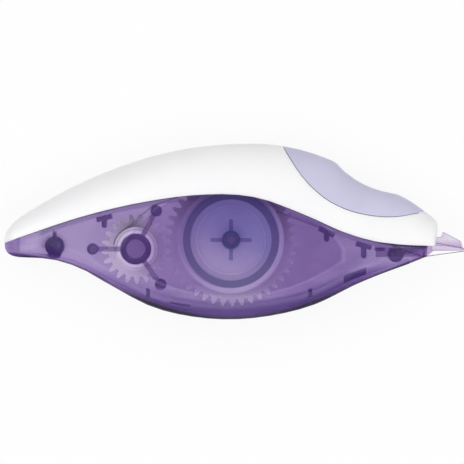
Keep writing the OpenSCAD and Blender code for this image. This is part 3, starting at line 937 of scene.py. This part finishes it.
TAKE_UP_GEAR = ClearPlastic(
    "gear_take_up", (0.985, 0.91, 1.0), (0.95, 0.87, 0.99), CLEAR_LILAC, 60.0,
    rough=(0.35, 0.45), haze=0.97,
)
SPRING = SatinPlastic(
    "spring_grey", (0.64, 0.58, 0.76), (0.57, 0.51, 0.68),
    rough=(0.3, 0.4), grain_mm=0.3, relief=0.08, mottle_mm=4.0,
)
# Painted shade on the reel: darker and bluer towards the upper right, paler towards the lower left.
REEL = ClearPlastic(
    "reel_blue", (0.99, 0.985, 0.998), (0.8, 0.88, 0.985), (0.1, 0.22, 0.72), 4.0,
    haze=0.5, swirl_mm=4.0, milk=(0.94, 0.87, 0.998),
    low_mm=(3.0, -8.0), low_tilt=0.45, rim_mm=(10.65, 10.75),
    # Rings: a painted highlight on the web disc's step, painted light in the shade the rim casts inside it,
    # and a darker rim.
    bands=(PaintedLightRing(9.05, 0.1, 0.45), PaintedLightRing(9.9, 0.72, 0.12), PaintedLightRing(11.65, 0.95, -0.16)),
)
FILM = TapeFinish("film_white", (0.92, 0.92, 0.92), (0.86, 0.86, 0.87), 0.5)
# The fresh roll's side is darker and more violet than the white film: partly the liner wound with it, partly
# painted shade for its place inside the case.
FILM_ROLL_SHADED = TapeFinish("film_roll_painted_shade", (0.74, 0.69, 0.82), (0.62, 0.57, 0.70), 0.5, turn_mm=0.24)
# The liner's cut edges carry a near-black painted shade, for the strip's depth seen edge-on.
LINER = TapeFinish("liner_paper", (0.74, 0.73, 0.76), (0.66, 0.65, 0.69), 0.42, cut_shade=(0.12, 0.12, 0.13))
USED_ROLL = TapeFinish(
    "used_roll", (0.72, 0.66, 0.76), (0.60, 0.54, 0.64), 0.45, turn_mm=0.24, axis=TAKE_UP_AXLE_MM,
)

Finish = ClearPlastic | SatinPlastic | SoftRubber | TapeFinish


@dataclass
class Piece:
    """One CAD solid, smoothed and dressed in its place; a half shell's parting face moves by part_mm."""

    node: str
    body: str
    slot: str
    finish: Finish
    crease: Crease = Crease.MOULDED
    part_mm: float = 0.0

    def build(self) -> bpy.types.Object:
        """Copies the solid, smooths it and puts it on its body.

        Returns:
            The new object, which stands for the CAD node.
        """
        mesh = bpy.data.meshes.new(f"{self.node}_skin")
        self._weld(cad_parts[self.node].data, mesh)
        mesh.materials.append(self.finish.build())
        piece = bpy.data.objects.new(f"{self.node}_skin", mesh)
        bpy.context.scene.collection.objects.link(piece)
        normals = piece.modifiers.new("even_normals", "WEIGHTED_NORMAL")
        normals.keep_sharp = True
        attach(piece, self.body)
        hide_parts(self.node)
        log.info("piece %s on %s: %d faces", piece.name, self.body, len(mesh.polygons))
        return piece

    def _weld(self, source: bpy.types.Mesh, target: bpy.types.Mesh) -> None:
        """Joins the solid's separate faces and marks the edges that stay sharp.

        Args:
            source: Mesh of the CAD node.
            target: Empty mesh that takes the result.
        """
        bm = bmesh.new()
        bm.from_mesh(source)
        bmesh.ops.remove_doubles(bm, verts=bm.verts, dist=WELD_MM * MM)
        bmesh.ops.dissolve_degenerate(bm, edges=bm.edges, dist=WELD_MM * MM)
        self._part(bm)
        limit = math.radians(self.crease.value)
        for face in bm.faces:
            face.smooth = True
        for edge in bm.edges:
            edge.smooth = edge.is_manifold and edge.calc_face_angle(math.pi) < limit
        bm.to_mesh(target)
        bm.free()

    def _part(self, bm: bmesh.types.BMesh) -> None:
        """Draws a half shell's parting face back by a hair, so that the halves meet in a fine line.

        Args:
            bm: Mesh of the solid.
        """
        if self.part_mm == 0.0:
            return
        for vert in bm.verts:
            if abs(vert.co.z - MID_MM * MM) < WELD_MM * MM:
                vert.co.z += self.part_mm * MM


class SubAssembly:
    """Pieces that belong together."""

    def pieces(self) -> list[Piece]:
        """Lists the pieces in the order in which they are built."""
        raise NotImplementedError

    def build(self) -> list[bpy.types.Object]:
        """Builds and dresses every piece."""
        return [piece.build() for piece in self.pieces()]


@dataclass
class Window(SubAssembly):
    """The two clear shells, which meet in the middle plane."""

    hair_mm: float = 0.012

    def pieces(self) -> list[Piece]:
        """Lists both shells."""
        return [
            Piece("front_shell", "casing", "window", WINDOW, Crease.CUT, self.hair_mm),
            Piece("rear_shell", "casing", "window", WINDOW_REAR_SHADOWED, Crease.CUT, -self.hair_mm),
        ]


@dataclass
class Cover(SubAssembly):
    """The white cover and the soft grip set into it."""

    def pieces(self) -> list[Piece]:
        """Lists the cover and the grip."""
        return [
            Piece("top_cover", "casing", "cover", COVER),
            Piece("finger_grip", "casing", "grip", GRIP),
        ]


@dataclass
class Applicator(SubAssembly):
    """The tip and the tape that runs over it and back."""

    def pieces(self) -> list[Piece]:
        """Lists the tip and the three strips."""
        return [
            Piece("applicator_tip", "casing", "tip", TIP, Crease.CUT),
            Piece("feed_liner", "casing", "liner", LINER),
            Piece("white_film", "casing", "film", FILM),
            Piece("return_liner", "casing", "liner", LINER),
        ]


@dataclass
class SupplySide(SubAssembly):
    """Drive gear with its clutch spring, and the reel with the fresh roll."""

    def pieces(self) -> list[Piece]:
        """Lists the four pieces."""
        return [
            Piece("drive_gear", "gear", "gear", DRIVE_GEAR),
            Piece("clutch_spring", "gear", "spring", SPRING),
            Piece("supply_reel", "supply", "reel", REEL),
            Piece("supply_tape", "supply", "film", FILM_ROLL_SHADED),
        ]


@dataclass
class TakeUpSide(SubAssembly):
    """Take-up reel with its gear, and the used roll."""

    def pieces(self) -> list[Piece]:
        """Lists the two pieces."""
        return [
            Piece("take_up_reel", "take_up", "gear", TAKE_UP_GEAR),
            Piece("used_tape", "take_up", "liner", USED_ROLL),
        ]


@dataclass
class Softbox:
    """One soft lamp: its place, the length of its side and its power."""

    name: str
    at_mm: tuple[float, float, float]
    side_mm: float
    watts: float


@dataclass
class Studio:
    """Pale floor, soft light and the camera straight above.

    Attributes:
        eye_mm: Where the camera stands.
        seen_mm: Width of the picture in the middle plane.
        sensor_mm: Width of the camera's sensor.
        near_mm: Distance from which the camera sees.
        floor_mm: Side of the floor.
        floor_drop_mm: How far the floor lies under the object.
        floor_paint: Colour of the floor in its own light.
        floor_glow: Share of plain white in the floor as it is seen.
        sky: Steps of the light round the room: the rise from level to straight up, and the light there.
        lamps: The soft lamps.
    """

    eye_mm: tuple[float, float, float] = (0.26, 2.1, 908.5)
    seen_mm: float = 122.5
    sensor_mm: float = 36.0
    near_mm: float = 1.0
    floor_mm: float = 4000.0
    floor_drop_mm: float = 0.02
    floor_paint: Colour = (0.86, 0.86, 0.865)
    floor_glow: float = 0.88
    sky: tuple[tuple[float, float], ...] = (
        (0.0, 0.2), (0.35, 0.44), (0.72, 1.05), (0.93, 1.05), (0.98, 0.03),
    )
    lamps: list[Softbox] = field(default_factory=lambda: [
        Softbox("left_softbox", (-420.0, 120.0, 620.0), 620.0, 1.1),
        Softbox("right_softbox", (420.0, -160.0, 620.0), 620.0, 0.9),
        Softbox("low_softbox", (0.0, -460.0, 600.0), 620.0, 0.8),
    ])

    def build(self) -> None:
        """Builds the camera, the floor, the light round the room and the lamps."""
        self._camera()
        self._floor()
        self._world()
        for lamp in self.lamps:
            self._lamp(lamp)

    def _camera(self) -> None:
        """Puts the camera above the object, looking straight down."""
        data = bpy.data.cameras.new("photo_camera")
        data.sensor_width = self.sensor_mm
        data.lens = self.sensor_mm * (self.eye_mm[2] - MID_MM) / self.seen_mm
        data.clip_start = self.near_mm * MM
        camera = bpy.data.objects.new("photo_camera", data)
        camera.location = Vector(self.eye_mm) * MM
        bpy.context.scene.collection.objects.link(camera)
        bpy.context.scene.camera = camera

    def _floor(self) -> None:
        """Lays the floor."""
        half = self.floor_mm / 2 * MM
        mesh = bpy.data.meshes.new("floor")
        rim = [(-half, -half, 0.0), (half, -half, 0.0), (half, half, 0.0), (-half, half, 0.0)]
        mesh.from_pydata(rim, [], [(0, 1, 2, 3)])
        mesh.materials.append(self._floor_finish())
        floor = bpy.data.objects.new("floor", mesh)
        floor.location.z = -self.floor_drop_mm * MM
        bpy.context.scene.collection.objects.link(floor)

    def _floor_finish(self) -> bpy.types.Material:
        """Makes a floor that looks white and keeps a soft shadow.

        Returns:
            The material.
        """
        g = Graph("floor_white")
        paint = g.add("ShaderNodeBsdfDiffuse", {"Color": (*self.floor_paint, 1.0)})
        glow = g.add("ShaderNodeEmission", {"Color": (1.0, 1.0, 1.0, 1.0), "Strength": 1.0})
        rays = g.add("ShaderNodeLightPath").outputs
        seen = g.math("MAXIMUM", rays["Is Camera Ray"], rays["Is Transmission Ray"])
        seen = g.math("MAXIMUM", seen, rays["Is Glossy Ray"])
        share = g.product(seen, self.floor_glow)
        g.show(g.layer(share, paint.outputs["BSDF"], glow.outputs["Emission"]))
        return g.material

    def _world(self) -> None:
        """Hangs a pale ring of light round the room, dark above the camera and dim towards the floor."""
        world = bpy.data.worlds.new("studio")
        world.use_nodes = True
        nodes = world.node_tree.nodes
        links = world.node_tree.links
        split = nodes.new("ShaderNodeSeparateXYZ")
        links.new(nodes.new("ShaderNodeTexCoord").outputs["Generated"], split.inputs["Vector"])
        ring = nodes.new("ShaderNodeValToRGB")
        ring.color_ramp.interpolation = "EASE"
        stops = ring.color_ramp.elements
        while len(stops) < len(self.sky):
            stops.new(0.5)
        for stop, (rise, level) in zip(stops, self.sky):
            stop.position = rise
            stop.color = (level, level, level, 1.0)
        links.new(split.outputs["Z"], ring.inputs["Fac"])
        back = nodes["Background"]
        back.inputs["Strength"].default_value = 1.0
        links.new(ring.outputs["Color"], back.inputs["Color"])
        bpy.context.scene.world = world

    def _lamp(self, lamp: Softbox) -> None:
        """Hangs one lamp, turned to the object.

        Args:
            lamp: The lamp's place, size and power.
        """
        data = bpy.data.lights.new(lamp.name, "AREA")
        data.size = lamp.side_mm * MM
        data.energy = lamp.watts
        light = bpy.data.objects.new(lamp.name, data)
        light.location = Vector(lamp.at_mm) * MM
        light.rotation_euler = (-light.location).to_track_quat("-Z", "Y").to_euler()
        bpy.context.scene.collection.objects.link(light)


def main() -> None:
    """Builds the stage and every sub-assembly, and logs each piece."""
    logging.basicConfig(level=logging.INFO, format="%(message)s")
    bpy.context.scene.view_settings.view_transform = "Standard"
    bpy.context.scene.cycles.transparent_max_bounces = CLEAR_FACES
    Studio().build()
    for part in (Window(), Cover(), Applicator(), SupplySide(), TakeUpSide()):
        for piece in part.build():
            log.info("%s has %s", type(part).__name__, piece.name)


if __name__ == "__main__":
    main()
